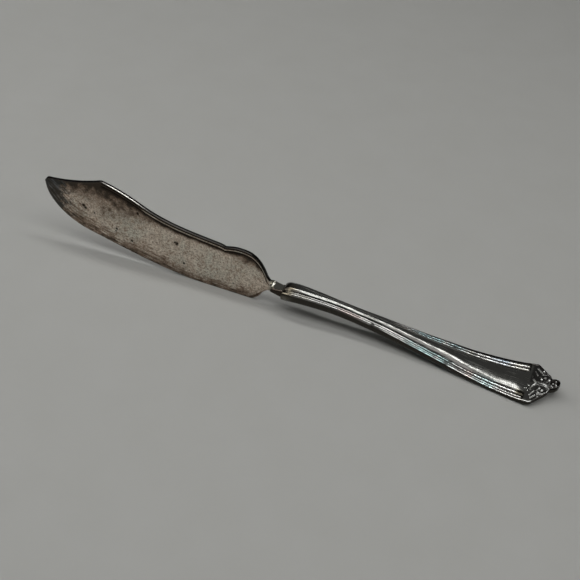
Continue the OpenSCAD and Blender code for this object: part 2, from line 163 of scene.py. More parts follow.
def halfWidth(u):
    shoulder = (handle["shoulderLen"], handle["shoulderW"] / 2)
    waist, corner = (handle["waistAt"], handle["waistW"] / 2), (cornerAt, handle["endW"] / 2)
    if u < shoulder[0]:
        return mix(handle["mouthW"] / 2, shoulder[1], shoulderRise(u))
    if u < waist[0]:
        return hermite(shoulder, waist, 0, 0, u)
    flare = corner[1] + handle["flare"] * (u - cornerAt)
    if u < cornerAt:
        flare = hermite(waist, corner, 0, handle["flare"], u)
    point = mix(handle["endW"], handle["finialW"], (u - cornerAt) / handle["pointLen"]) / 2
    share = clamp(0.5 + (point - flare) / handle["cornerRound"] / 2)
    point = mix(point, flare, share) - handle["cornerRound"] * share * (1 - share)
    if u < cornerAt:
        return point
    past = (u - handle["budAt"]) / handle["budLen"]
    bud = handle["finialW"] / 2 * math.sqrt(max(0.003, 1 - max(past, 0) ** 2))  # never quite a point
    share = soft((u - handle["notchAt"]) / handle["notchRun"] + 0.5)
    # the bud is set off by a nick
    notch = handle["notchDeep"] * ridge(abs(u - handle["notchAt"] - handle["notchPast"]), handle["notchRun"])
    return mix(point, bud, share) * (1 - notch)


def widthShare(u):
    waist = handle["waistW"] / 2
    return (halfWidth(u) - waist) / (handle["endW"] / 2 - waist)


def borderWidth(u):
    return mix(*handle["border"], widthShare(u)) * min(1, halfWidth(u) / (handle["waistW"] / 2))


def domeRise(u, gap):
    b = borderWidth(u)
    s = clamp((gap - b) / (halfWidth(u) - b))
    share = clamp(widthShare(u))
    # flatter on top towards the end, and there it falls off in a plain slope
    curve = 1 - (1 - s) ** (2 + share)
    flank = 1 - (1 - min(s / handle["flankW"], 1)) ** handle["flankPower"]
    high = lookUp(handle["domeH"], share) * mix(curve, flank, ramp(u, *handle["flankFrom"]))
    return high * arc(u / handle["domeIn"]) * soft((domeEnd - u) / handle["domeFade"])


def patternGap(u, y):
    # the die was set a little to the near side
    return halfWidth(u) - abs(y + handle["dieShift"] * ramp(u, *handle["dieFrom"]))


def edgeFlat(u):
    # past the slim part the edge is a slanting flat
    return ramp(u, *handle["flatFrom"]) * ramp(u, cornerAt + handle["flatPast"], -handle["flatPast"])


def reedRise(u, gap):
    b = borderWidth(u)
    if gap >= b:
        return 0.0
    # half a reed on the edge, where it gives way to the flat, and two more inside it
    wave = abs(math.cos(handle["reeds"] * math.pi * gap / b))
    if gap < 0.5 / handle["reeds"] * b:
        wave *= 1 - edgeFlat(u)
    high = handle["reedShare"] * b * wave
    return high * ramp(u, *handle["reedFrom"]) * ramp(u, reedEnd, -handle["reedOut"])


def borderRise(u, gap):
    # the narrow part is crowned right to its edges
    tilt = handle["borderTilt"] * clamp(1 - widthShare(u) / handle["tiltShare"])
    return tilt * min(borderWidth(u), gap) * arc(u / handle["domeIn"])


# scrolled end, one half of it: the other is its mirror image. Places are mm from the mouth and from the
# middle, and the spiral's are degrees and radius
scrolls = dict(
    start=82, rise=0.45, edgeFade=0.9, centre=(89.4, 3.0), eye=0.55, spiralW=0.4,
    spiral=[(-180, 3.7), (-132, 3.5), (-108, 2.8), (-74, 2.2), (-31, 1.8), (54, 1.75), (120, 1.7),
            (160, 1.45), (190, 1.3)],
    leafW=0.3, leafRise=0.8,
    leaves=[[(86.0, 5.7), (86.5, 4.7), (87.0, 3.8)], [(86.5, 7.0), (87.4, 5.9), (88.3, 5.0)]],
    hookRise=0.3, hookLeft=0.05,  # nearly worn away on the far half
    hooks=[[(84.0, 3.3), (84.5, 2.7), (85.0, 3.2), (85.1, 3.9)],
           [(84.9, 0.5), (84.7, 1.1), (85.1, 1.6), (85.5, 1.1)]],
    ribW=0.26, ribRise=0.9,
    ribs=[[(91.9, 0.7), (93.0, 1.0), (93.6, 1.7)], [(91.6, 1.4), (92.2, 2.0), (92.4, 2.6)]],
    beadRise=0.7,
    beads=[(88.6, 6.0, 0.4), (89.8, 4.9, 0.45), (90.8, 1.5, 0.45), (88.5, 2.1, 0.5), (92.9, 0.4, 0.4)],
    rimIn=0.44, rimW=0.5, rimRise=0.12, rimFrom=(-1.4, 1.2),  # from where the reeds end
)


def scrollRise(u, y, gap):
    if u < scrolls["start"]:
        return 0.0
    v = abs(y)
    du, dv = u - scrolls["centre"][0], v - scrolls["centre"][1]
    r, angle = math.hypot(du, dv), math.degrees(math.atan2(dv, du))
    high = ridge(r, scrolls["eye"])
    for turn in (angle, angle + 360):  # the arm passes each side up to twice
        if turn <= scrolls["spiral"][-1][0]:
            high = max(high, ridge(abs(r - lookUp(scrolls["spiral"], turn)), scrolls["spiralW"]))
    hookRise = scrolls["hookLeft" if y > 0 else "hookRise"]
    for lines, width, share in (("leaves", "leafW", scrolls["leafRise"]), ("hooks", "leafW", hookRise),
                                ("ribs", "ribW", scrolls["ribRise"])):
        for line in scrolls[lines]:
            high = max(high, share * ridge(nearLine(line, u, v), scrolls[width]))
    for beadU, beadV, beadR in scrolls["beads"]:
        high = max(high, scrolls["beadRise"] * ridge(math.hypot(u - beadU, v - beadV), beadR))
    rim = ridge(abs(gap - scrolls["rimIn"]), scrolls["rimW"]) * ramp(u - reedEnd, *scrolls["rimFrom"])
    fromBud = math.hypot((u - handle["budAt"]) / handle["budLen"], y / handle["finialW"] * 2)
    bud = handle["budRise"] * arc(handle["budSwell"] - fromBud)
    return max(scrolls["rise"] * high * soft(gap / scrolls["edgeFade"]), scrolls["rimRise"] * rim) + bud


def endRound(u):
    mouth = handle["mouthRound"] * (1 - arc(u / handle["mouthRound"]))
    tip = handle["tipRound"] * (1 - arc((handle["length"] - u) / handle["tipRound"]))
    return mouth + tip


def frontTop(u, y):
    half = halfWidth(u)
    gap, inner, far = half - abs(y), patternGap(u, y), y > 0
    # at the mouth the far border and dome are one round
    barrel = (1 - ramp(u, *handle["barrelTo"])) * (1 if far else handle["barrelNear"])
    corner = mix(*handle["edgeRound"], edgeFlat(u)) + handle["barrelRound"] * barrel
    edge = corner * (1 - arc(gap / corner))
    edge += edgeFlat(u) * handle["edgeSlope"] * max(0, handle["edgeW"] - gap)
    crown = (domeRise(u, half) + borderRise(u, half)) * (1 - (abs(y) / half) ** handle["barrelPower"])
    reeds = reedRise(u, inner)
    if far:  # worn away there
        reeds *= mix(handle["farReed"], 1, ramp(u, *handle["farReedFrom"]))
    relief = mix(domeRise(u, inner) + borderRise(u, inner), crown, barrel) + reeds + scrollRise(u, y, gap)
    return edgeHeight(u) + relief - edge - endRound(u)


def hollowShare(u, gap):
    low, high = handle["landShare"]
    hollowEnd = handle["solidAt"] + handle["solidRun"]
    return clamp((gap / borderWidth(u) - low) / (high - low)) * clamp((hollowEnd - u) / handle["solidRun"])


def frontInside(u, y):
    gap = halfWidth(u) - abs(y)
    roof = edgeHeight(u) - handle["wall"] + domeRise(u, gap) + borderRise(u, gap)
    return mix(seamHeight(u), roof, hollowShare(u, gap))


def backUnder(u, y):
    gap = halfWidth(u) - abs(y)
    return backHeight(u) + handle["backRound"] * (1 - arc(gap / (handle["landShare"][0] * borderWidth(u))))


def backInside(u, y):
    gap = halfWidth(u) - abs(y)
    return mix(seamHeight(u), backHeight(u) + handle["wall"], hollowShare(u, gap))


# wear and grime on the front, with painted shade and a painted highlight. Names that end in From, To and In
# hold a start and a run: along the handle, up the relief, or in from the edge. footBlack is how black the
# painted shade along the foot of the dome is on the near side
wearAndShade = dict(
    footAt=(0.1, 0.35), footW=(0.3, 0.6), footFarFrom=(5, 8), footNearFrom=(1, 3), footMouthTo=(12, -8),
    footOut=2, footBlack=[(12, 1), (25, 0.5), (60, 0.5), (70, 1)],
    flank=0.62, flankFrom=(22, 10), flankTo=(76.5, -4), flankIn=(-0.1, 0.3), flankOut=0.5,
    flankReach=1.3, flankShare=0.62,
    ground=0.22, groundFar=(0.52, 2.6), groundNear=(0.45, 0.4), groundRun=1.6, groundFrom=(-0.2, 0.8),
    groundIn=(0.3, 0.4), budFrom=(91, 0.8), cleaned=0.9,
    reedFrom=(1, 5), reedOut=0.6, sharpFrom=(35, 20), sharpTo=(72, -8), sharpEdge=0.32, grooveTo=(0.95, -0.7),
    innerReeds=0.3, innerReedsTo=(83.4, -1.6), crestFrom=(0.4, 0.5), stemCrest=0.45, stemCrestTo=(30, 20),
    scrollFrom=(0.3, 0.45), scrollTo=(92.5, -1.5), ribsAt=91.2, ribs=0.9, ribWider=1.4,
    outerPart=4.6, outer=0.35, outerFrom=(-0.6, 1.2),
    edgeFade=0.11, edge=0.42, edgeTo=(62, -5), edgeLineFrom=(-0.6, 0.6), edgeLineTo=(0.4, -0.5),
    farEdgeIn=(0.3, -0.1), farEdgeFrom=(20, 15), point=0.8, pointFrom=(0.2, 0.6), pointIn=(0.7, -0.3),
    stemTo=(32, -8), stemDomeShade=0.45, stemDomeIn=(0.5, 0.2), stemEdgeShade=0.6, stemEdgeIn=(0.45, -0.3),
    mouth=0.65, mouthTo=(3.2, -1.6), mouthIn=(0.25, 0.2),
    scuffFrom=(60, 10), scuffTo=(85, -3), scuffIn=(0, 0.4), scuffSide=(0.5, -2),
    # side: painted shade on the sides, its share at the mouth and where it grows
    side=0.35, sideFrom=(1.5, 3),
    # dents across the reeds where grime has gathered: middle, half length, side, slant
    dents=[(32.2, 0.8, -1, 0.6), (58.7, 1.2, -1, 0.8), (59.7, 0.8, 1, -0.5)],
    # films that tarnish leaves, and painted shade: the dark first one and the near border's last one by the
    # mouth are painted shade, and the olive one over the mouth is tarnish tint with painted shade. Colour,
    # middle, half length, side (1 is the far one, 0 both), strength
    filmsAndShade=[
        ("#3a362b", 6, 5, 1, 0.85), ("#9dc6ca", 53.5, 11, 1, 0.8), ("#a8cece", 52, 11, -1, 0.75),
        ("#b8d6d6", 72, 5, -1, 0.7), ("#a3b4c4", 74.5, 4, 1, 0.8), ("#b5a19b", 24, 6, -1, 0.6),
        ("#d6c4bc", 67, 3, -1, 0.6), ("#b9b18c", 63, 3, 1, 0.6), ("#c4c2b4", 82, 4, 1, 0.6),
        ("#8f8868", 83, 2, -1, 0.8), ("#6c6452", 0, 6.5, 0, 0.9), ("#8f8a7a", 6, 6, -1, 0.5),
    ],
    filmFade=1.6, filmIn=(0.45, 0.2),
)


def toneAt(u, y, half):
    start, run = wearAndShade["filmIn"]
    for code, middleAt, reach, sideOf, most in wearAndShade["filmsAndShade"]:
        share = most * soft(wearAndShade["filmFade"] - wearAndShade["filmFade"] * abs(u - middleAt) / reach)
        if sideOf:  # on one border only
            share *= ramp(y * sideOf, start * half, run * half)
        if share > 0.02:
            return hexColor(code)[:3] + [share]
    return (1, 1, 1, 0)


def frontMarks(u, y, gap):
    half, b, inner, far = halfWidth(u), borderWidth(u), patternGap(u, y), y > 0
    # painted shade: a black line along the foot of the dome, where tarnish also sits in the crease, and the
    # flank above it darkened on the near side
    byMouth = 0 if far else ramp(u, *wearAndShade["footMouthTo"])
    footW = mix(*wearAndShade["footW"], max(widthShare(u), byMouth))
    foot = ridge(abs(inner - b - mix(*wearAndShade["footAt"], byMouth)), footW)
    foot *= ramp(u, *wearAndShade["footFarFrom" if far else "footNearFrom"])
    foot *= ramp(u, reedEnd, -wearAndShade["footOut"]) * (1 if far else lookUp(wearAndShade["footBlack"], u))
    if not far:
        reach = min(wearAndShade["flankReach"], wearAndShade["flankShare"] * (half - b))
        flankShade = wearAndShade["flank"] * ramp(u, *wearAndShade["flankFrom"]) * ramp(u, *wearAndShade["flankTo"])
        flankShade *= ramp(inner - b, *wearAndShade["flankIn"]) * ramp(inner, b + reach, -wearAndShade["flankOut"])
        foot = max(foot, flankShade)

    # reeds, sharpest along the middle, and a painted highlight line on the near edge
    reed = reedRise(u, inner) / (handle["reedShare"] * b)
    reed = mix(reed, reed**2, ramp(u, *wearAndShade["sharpFrom"]) * ramp(u, *wearAndShade["sharpTo"]))
    if not far and gap < wearAndShade["sharpEdge"] * b:
        reed = mix(reed, reed**2, edgeFlat(u))
    onEdge = ramp(gap, handle["edgeW"], -wearAndShade["edgeFade"]) * (not far)
    reed = max(reed, edgeFlat(u) * onEdge)
    reeded = ramp(u, *wearAndShade["reedFrom"]) * ramp(u, reedEnd, -wearAndShade["reedOut"]) * (inner < b)
    left = 1
    if not far and gap >= wearAndShade["innerReeds"] * b:  # two near reeds fade early
        left = ramp(u, *wearAndShade["innerReedsTo"])
    groove = ramp(reed * left, *wearAndShade["grooveTo"]) * reeded
    nearEdgeHighlight = onEdge * ramp(u - reedEnd, *wearAndShade["edgeLineFrom"]) * ramp(u - cornerAt, *wearAndShade["edgeLineTo"])

    # scrolled end: tarnish in the ground, darker on the far half as painted shade, with what stands out
    # rubbed bright
    dark, lead = wearAndShade["groundFar" if far else "groundNear"]
    least = mix(wearAndShade["ground"], dark, ramp(u - cornerAt, -lead, wearAndShade["groundRun"]))
    ground = ramp(u - reedEnd, *wearAndShade["groundFrom"]) * ramp(gap, *wearAndShade["groundIn"])
    ground *= mix(least, 1, ramp(u, *wearAndShade["budFrom"]))
    # the far half stays dark as painted shade
    if far:  # only the beads stay bright there
        rubbed = max(ridge(math.hypot(u - at, y - out), r) for at, out, r in scrolls["beads"])
    elif u > wearAndShade["ribsAt"]:
        ribW = wearAndShade["ribWider"] * scrolls["ribW"]
        rubbed = wearAndShade["ribs"] * max(ridge(nearLine(rib, u, -y), ribW) for rib in scrolls["ribs"])
    else:
        scroll = scrollRise(u, y, gap) / scrolls["rise"]
        rubbed = ramp(scroll, *wearAndShade["scrollFrom"]) * ramp(u, *wearAndShade["scrollTo"])
        if -y > wearAndShade["outerPart"]:
            rubbed *= mix(1, wearAndShade["outer"], ramp(u - cornerAt, *wearAndShade["outerFrom"]))
    ground *= 1 - wearAndShade["cleaned"] * max(rubbed, nearEdgeHighlight)

    dent = 0
    for at, run, on, slant in wearAndShade["dents"]:
        if y * on > 0 and gap < b:
            dent = max(dent, ridge(abs(u - at - slant * (gap - b / 2)), run))
    # painted shade on the far edge and the point, and on the slim part by the dome and on its edge
    farEdgeShade = ramp(gap / b, *wearAndShade["farEdgeIn"]) * ramp(u, *wearAndShade["farEdgeFrom"]) if far else 0
    pointShade = wearAndShade["point"] * ramp(u - cornerAt, *wearAndShade["pointFrom"]) * ramp(gap, *wearAndShade["pointIn"])
    nearEdgeShade = wearAndShade["edge"] * onEdge * ramp(u, *wearAndShade["edgeTo"])
    stemDomeShade = wearAndShade["stemDomeShade"] * ramp(inner / b, *wearAndShade["stemDomeIn"]) * (inner < b)
    stemEdgeShade = wearAndShade["stemEdgeShade"] * ramp(gap, *wearAndShade["stemEdgeIn"])
    stemShade = 0 if far else ramp(u, *wearAndShade["stemTo"]) * max(stemDomeShade, stemEdgeShade)
    # painted shade over the mouth, where the dome starts to rise
    mouth = wearAndShade["mouth"] * ramp(u, *wearAndShade["mouthTo"]) * (1 if far else ramp(gap / b, *wearAndShade["mouthIn"]))

    # grime in the grooves, dents and scroll ground, together with all the painted shade above
    grimeAndShade = max(groove, foot, dent, ground, farEdgeShade, pointShade, nearEdgeShade, stemShade, mouth)
    crest = ramp(reed, *wearAndShade["crestFrom"]) * mix(wearAndShade["stemCrest"], 1, ramp(u, *wearAndShade["stemCrestTo"])) * left
    crest = max(crest, rubbed * ramp(u, reedEnd, 1), nearEdgeHighlight)
    scuff = ramp(u, *wearAndShade["scuffFrom"]) * ramp(u, *wearAndShade["scuffTo"])
    scuff *= ramp(inner - b, *wearAndShade["scuffIn"]) * ramp(y, *wearAndShade["scuffSide"])
    return grimeAndShade, crest, scuff


# marks on the plate: grime in the grooves with painted shade, crests with a painted highlight on the near
# edge, painted shade on the sides, haze
plateMarks = ("grimeAndShade", "crest", "side", "scuff")


def struckHalf(name, outer, inner, rows, columns, rowStops):
    bm = bmesh.new()
    tone = bm.verts.layers.float_color.new("toningAndShade")
    grimeAndShade, crest, side, scuff = [bm.verts.layers.float.new(key) for key in plateMarks]
    inBorder = handle["borderColumns"]  # share of the columns that the border takes
    for height in (outer, inner):
        made = bmesh.ops.create_grid(bm, x_segments=rows, y_segments=columns, size=1)
        for v in made["verts"]:
            u = lookUp(rowStops, (v.co.x + 1) / 2)
            half, b = halfWidth(u), borderWidth(u)
            across = 1 - abs(v.co.y)  # 0 at the edge, 1 on the middle line
            gap = b * across / inBorder
            if across >= inBorder:
                gap = mix(b, half, (across - inBorder) / (1 - inBorder))
            y = math.copysign(half - gap, v.co.y)
            if height is frontTop:
                v[grimeAndShade], v[crest], v[scuff] = frontMarks(u, y, gap)
            v[tone] = toneAt(u, y, half)
            # the sides and the insides get painted shade, less of it by the mouth
            onSide = gap < 0.001 or height is inner
            v[side] = mix(wearAndShade["side"], 1, ramp(u, *wearAndShade["sideFrom"])) if onSide else 0.0
            v.co = Vector(((u - middle) * mm, y * mm, height(u, y) * mm))
    rims = [e for e in bm.edges if e.is_boundary]
    bmesh.ops.bridge_loops(bm, edges=rims)
    return finishPiece(bm, name, name.replace("Visual", ""))


# share of the rows and mm from the mouth: rows lie closest at the mouth and at the scrolled end
frontStops = [(0, 0), (0.08, 2.4), (0.1, 3.6), (0.45, 80), (1, 94.4)]
backStops = [(0, 0), (0.12, 2.4), (0.2, 4), (0.75, 86), (1, 94.4)]
handleFront = struckHalf("handle_frontVisual", frontTop, frontInside, 200, 150, frontStops)
handleBack = struckHalf("handle_backVisual", backUnder, backInside, 110, 40, backStops)


# blade: two rails, the spine's and the edge's, with a section hung between them at every row. A curve's pulls
# are its two handles, from its start and from its end; a stretch has the slopes at its start and its end
blade = dict(
    length=83.2, peak=(21, 29.7), peakRound=1, peakDrop=(0.2, 0.1), clipH=24.8, noseH=22.9, noseRound=1.5,
    belly=(16, 7.5), bellySpread=1.3, landLen=15.5, heelAhead=6.9, heelRise=(3.95, 3.4), sway=(0.32, 0.55),
    cuspAhead=17, cuspH=18.5, lip=(2.1, 0.6), humpAhead=11.9, humpH=19.5, throat=(1.4, 1.7), rootH=4.1,
    pulls=dict(
        nose=((0, 1.4), (-0.9, -0.09)), peak=((0.7, 0.294), (-0.7, 0.154)), lip=((1.1, -0.11), (-0.4, 0.3)),
        belly=((0, -6.8), (-8.3, 1.99)), heel=((1.6, 0.2), (-0.75, -1.5)),
        throatTop=((0.35, -0.77), (-0.6, 0.3)), throatLow=((0.55, 1.2), (-1.6, -0.25))),
    slopes=dict(clip=(0.1, 0.42), fall=(-0.22, -0.47), sway=(-0.47, -0.1), cusp=(0.3, 0), hump=(0, -2.2),
                belly=(-0.24, 0)),
    neckRise=0.65, neckLen=4.6, neckW=4.2, neckT=3, neckWaist=1.9, neckSquare=0.42, neckTurn=0.45,
    neckLean=(0.5, 0.2), neckRows=36, tangLen=36, tangW=(3, 1.8), tangT=1.1, tangSquare=0.25, tangRows=10,
    spineT=1.4, edgeT=0.7, footTaper=0.6, edgeBevel=1.4, spineCrown=0.2, edgeRound=0.16, fullDepth=8,
    lineIn=0.46, lineGap=0.92, lineW=0.34, lineDeep=0.18, threadCrown=0.08,
    lineFrom=(-8, 12), lineTo=(-8, -16),  # in rows, from the peak and from the root
)
rootAt = -blade["neckLen"]
noseAt = rootAt - blade["length"]


def curveAt(p, t):
    s = 1 - t
    return p[0] * s**3 + p[1] * 3 * s * s * t + p[2] * 3 * s * t * t + p[3] * t**3


def pulled(name, start, end):
    first, second = blade["pulls"][name]
    return [start, start + Vector(first), end + Vector(second), end]


def bend(name, start, end, n):
    return [curveAt(pulled(name, start, end), i / n) for i in range(n)]


def stretch(name, a, b, n):
    along = [mix(a[0], b[0], i / n) for i in range(n)]
    return [Vector((x, hermite(a, b, *blade["slopes"][name], x))) for x in along]


def coreHeight(u):
    u = max(u, 0)
    return (backHeight(u) + edgeHeight(u) + domeRise(u, halfWidth(u)) / 2) / 2


def bladeRails():
    fine = 4
    peakAt, peakH = noseAt + blade["peak"][0], blade["peak"][1]
    nose = Vector((noseAt, blade["noseH"]))
    clip = Vector((noseAt + blade["noseRound"], blade["clipH"]))
    peakFore = Vector((peakAt - blade["peakRound"], peakH - blade["peakDrop"][0]))
    peakAft = Vector((peakAt + blade["peakRound"], peakH - blade["peakDrop"][1]))
    cusp = Vector((rootAt - blade["cuspAhead"], blade["cuspH"]))
    lip = cusp + Vector((-blade["lip"][0], blade["lip"][1]))
    sway = Vector((mix(peakAft[0], lip[0], blade["sway"][0]), mix(lip[1], peakAft[1], blade["sway"][1])))
    hump = Vector((rootAt - blade["humpAhead"], blade["humpH"]))
    rootMid = coreHeight(0) + blade["neckRise"]
    rootTop = Vector((rootAt, rootMid + blade["rootH"] / 2))
    rootLow = Vector((rootAt, rootMid - blade["rootH"] / 2))
    throat = rootTop + Vector((-blade["throat"][0], blade["throat"][1]))
    belly = Vector((noseAt + blade["belly"][0], blade["belly"][1]))
    heel = Vector((rootAt - blade["heelAhead"], 0))
    land = heel - Vector((blade["landLen"], 0))
    heelTop = heel + Vector(blade["heelRise"])
    spine = bend("nose", nose, clip, 8 * fine)[3:]  # the nose itself is one more row
    fore = len(spine) + 14 * fine  # rows up to the peak, which the belly shares
    spine += stretch("clip", clip, peakFore, 10 * fine) + bend("peak", peakFore, peakAft, 4 * fine)
    spine += stretch("fall", peakAft, sway, 8 * fine) + stretch("sway", sway, lip, 12 * fine)
    spine += bend("lip", lip, cusp, 5 * fine) + stretch("cusp", cusp, hump, 6 * fine)
    spine += stretch("hump", hump, throat, 12 * fine) + bend("throatTop", throat, rootTop, 5 * fine)
    spine.append(rootTop)
    bellyCurve = pulled("belly", nose, belly)
    edge = [curveAt(bellyCurve, (i / (fore + 1)) ** blade["bellySpread"]) for i in range(1, fore + 1)]
    edge += stretch("belly", belly, land, 20 * fine)
    edge += [land.lerp(heel, i / (11 * fine)) for i in range(11 * fine)]
    edge += bend("heel", heel, heelTop, 9 * fine) + bend("throatLow", heelTop, rootLow, 8 * fine)
    edge.append(rootLow)
    return nose, spine, edge, fore, rootMid


def halfThick(d, h):
    bevel = min(blade["edgeBevel"], h / 4)
    foot = mix(blade["spineT"], blade["edgeT"], blade["footTaper"]) / 2
    if d > h - bevel:
        return mix(foot, blade["edgeT"] / 2, (d - h + bevel) / bevel)
    return mix(blade["spineT"] / 2, foot, d / (h - bevel))


# front and back of the section, as depth below the spine and half thickness there
def bladeSection(h, cut):
    scale = min(1, h / blade["fullDepth"])
    bevel = min(blade["edgeBevel"], h / 4)
    crown, er, w = blade["spineCrown"], blade["edgeRound"], blade["lineW"] / 2
    first, second = blade["lineIn"], blade["lineIn"] + blade["lineGap"]
    top = [(crown * s * s, (1 - s) * blade["spineT"] / 2) for s in (0, 0.25, 0.5, 0.7, 0.85)]
    top += [(0.95 * crown, 0.03), (crown + 0.02, 0.008), (crown + 0.08, 0)]  # a fine round to the faces
    near = top[:]
    for centre in (first, second):
        for s in (-1, -0.6, -0.3, 0, 0.3, 0.6, 1):
            near.append((centre + w * s, cut * blade["lineDeep"] * ridge(abs(s), 1)))
        if centre == first:
            for s in (0.2, 0.4, 0.6, 0.8):
                thread = -cut * blade["threadCrown"] * math.sin(math.pi * s)
                near.append((mix(first + w, second - w, s), thread))
    front = [(d * scale, halfThick(d * scale, h) - inset) for d, inset in near]
    start = front[-1][0]
    front += [(d, halfThick(d, h)) for d in (mix(start, h - bevel, i / 14) for i in range(1, 15))]
    front += [(h - bevel * s, halfThick(h - bevel * s, h)) for s in (0.66, 0.33)]
    edge = []
    for a in (0, 0.52, 1.05, 1.57):
        edge.append((h - er * (1 - math.sin(a)), halfThick(h, h) - er * (1 - math.cos(a))))
    back = [(d, -t) for d, t in edge[::-1]]
    back += [(d, -halfThick(d, h)) for d in (mix(h - bevel, start, i / 8) for i in range(9))]
    back += [(d * scale, inset - halfThick(d * scale, h)) for d, inset in top[:0:-1]]
    return front + edge, back


# nickel silver with old silver plate, tarnished: pale brown-grey and mottled, nearly black where cloth
# doesn't reach, with painted shade on the spine and on the neck's near side. Tables give how deep the stain
# goes, or how much of the spine is rubbed bright as a painted highlight, along the blade in mm from the
# handle's mouth; a speck is its place along, its height and its radius
tarnish = dict(
    pale="#ecdfd0", grey="#dbd8cb", film="#c0ad9b", brown="#7c6452", dark="#3f3831", speck="#241d18",
    light="#f0e8dc", slate="#3b3b38", blue="#74777a", rubbed="#c4c2bb", neck="#b4b2a7", spine="#1b1917",
    underSpine=[(-90, 5), (-84, 5), (-80.5, 4), (-76, 6), (-72, 8), (-67, 10), (-60, 8), (-53, 5), (-48, 2),
                (-40, 1.3), (-24, 1), (-20, 1), (-17, 2.2), (-13, 3.6), (-9, 1.8), (-7, 0.8), (0, 0.5)],
    overEdge=[(-88, 5), (-84, 5), (-80, 5.5), (-74, 5.5), (-68, 4), (-60, 3.2), (-50, 3.6), (-40, 3.6),
              (-33, 1.8), (-24, 2.6), (-18, 2.4), (-14, 3.2), (-9, 2), (-7, 0.8), (0, 0.5)],
    spineRubHighlight=[(-90, 0), (-67.5, 0), (-63, 1), (-55, 1), (-49, 0.14), (-24, 0.1), (-14, 0.14), (-8, 0.1),
                 (-6, 0)],
    rubAt=0.42, rubW=(0.22, 0.55), tipDepth=6.5, bareFrom=(-53, 5), neckFrom=(-5.3, 1.0), lineW=(0.33, 0.12),
    nearShadeIn=(0.55, 0.25), nearShadeFrom=(0.12, 0.2), outOfReach=9,
    specks=[(-39.3, 14.0, 0.5), (-38.6, 14.0, 0.5), (-38.8, 13.4, 0.5), (-53.3, 21.4, 0.55),
            (-52.6, 20.6, 0.3), (-61.1, 12.0, 0.4), (-61.3, 11.0, 0.25), (-35.9, 6.2, 0.4),
            (-73.4, 17.8, 0.6), (-72.7, 16.9, 0.5), (-69.5, 15.8, 0.3), (-17.6, 4.2, 0.25),
            (-55.4, 8.8, 0.4)],
    # noise: size in mm, detail, roughness. The grain is really 0.3 mm
    clouds=(11, 3, 0.55), mottle=(2.6, 6, 0.72), grain=(0.7, 3, 0.8), smear=(5, 0.9),
)
bladeMarks = ("underSpine", "overEdge", "edgeGap", "tip", "line", "spineTop", "rubHighlight", "neck", "darkening")


def signedPower(x, p):
    return math.copysign(abs(x) ** p, x)


# rings of points along the blade, the neck and the tang: place, depth below the spine, height over the edge,
# share of an incised line, painted shade
def bladeRings(lineDepths):
    nose, spine, edge, fore, rootMid = bladeRails()
    last = len(spine) - 1
    clear = tarnish["outOfReach"]
    reach, fade = tarnish["lineW"]
    rings = []
    for j, (top, low) in enumerate(zip(spine, edge)):
        h = (low - top).length
        cut = ramp(j - fore, *blade["lineFrom"]) * ramp(j - last, *blade["lineTo"])
        front, back = bladeSection(h, cut)
        down = (low - top) / h
        ring = []
        for k, (d, t) in enumerate(front + back):
            line = 0
            if k < len(front):
                line = cut * max(clamp((reach - abs(d - at)) / fade) for at in lineDepths)
            ring.append(((top[0] + down[0] * d, -t, top[1] + down[1] * d), d, h - d, line, 0))
        rings.append(ring)
    rootFront, rootBack = bladeSection((edge[-1] - spine[-1]).length, 0)
    root = rootFront + rootBack
    ovals = [math.radians(mix(12, 168, k / (len(rootFront) - 1))) for k in range(len(rootFront))]
    ovals += [math.radians(mix(192, 348, k / (len(rootBack) - 1))) for k in range(len(rootBack))]
    rings.insert(0, [((nose[0], 0, nose[1]), 0, 0, 0, 0)] * len(ovals))
    square, (leanY, leanZ) = blade["neckSquare"], blade["neckLean"]
    for i in range(1, blade["neckRows"] + 1):  # neck: turns a quarter and fills out
        t = i / blade["neckRows"]
        turn = math.radians(90 * (1 - (1 - clamp(t / blade["neckTurn"])) ** 3))
        a = mix(blade["rootH"], blade["neckW"], soft(t * 1.5)) / 2
        b = mix(blade["neckWaist"], blade["neckT"], soft(t * 2 - 1)) / 2
        grow, z = soft(t * 2), mix(rootMid, coreHeight(0), soft(t))
        ring = []
        for (d, half), angle in zip(root, ovals):
            p = mix(blade["rootH"] / 2 - d, a * signedPower(math.cos(angle), square), grow)
            q = mix(half, b * signedPower(math.sin(angle), square), grow)
            y = p * math.sin(turn) - q * math.cos(turn)
            rise = p * math.cos(turn) + q * math.sin(turn)
            # the twist runs slanting across the bar, and its near side gets painted shade
            lean = (leanY * y + leanZ * rise) * math.sin(math.pi * t) ** 2
            darkening = ramp(-y / a, *tarnish["nearShadeIn"]) * ramp(t, *tarnish["nearShadeFrom"])
            ring.append(((mix(rootAt, 0, t) + lean, y, z + rise), clear, clear, 0, darkening))
        rings.append(ring)
    for i in range(blade["tangRows"] + 1):  # tang, hidden in the handle
        t = i / blade["tangRows"]
        u, a, b = blade["tangLen"] * i / blade["tangRows"], mix(*blade["tangW"], t) / 2, blade["tangT"] / 2
        ring = []
        for angle in ovals:
            y = a * signedPower(math.cos(angle), blade["tangSquare"])
            z = coreHeight(u) + b * signedPower(math.sin(angle), blade["tangSquare"])
            ring.append(((u, y, z), clear, clear, 0, 0))
        rings.append(ring)
    return rings


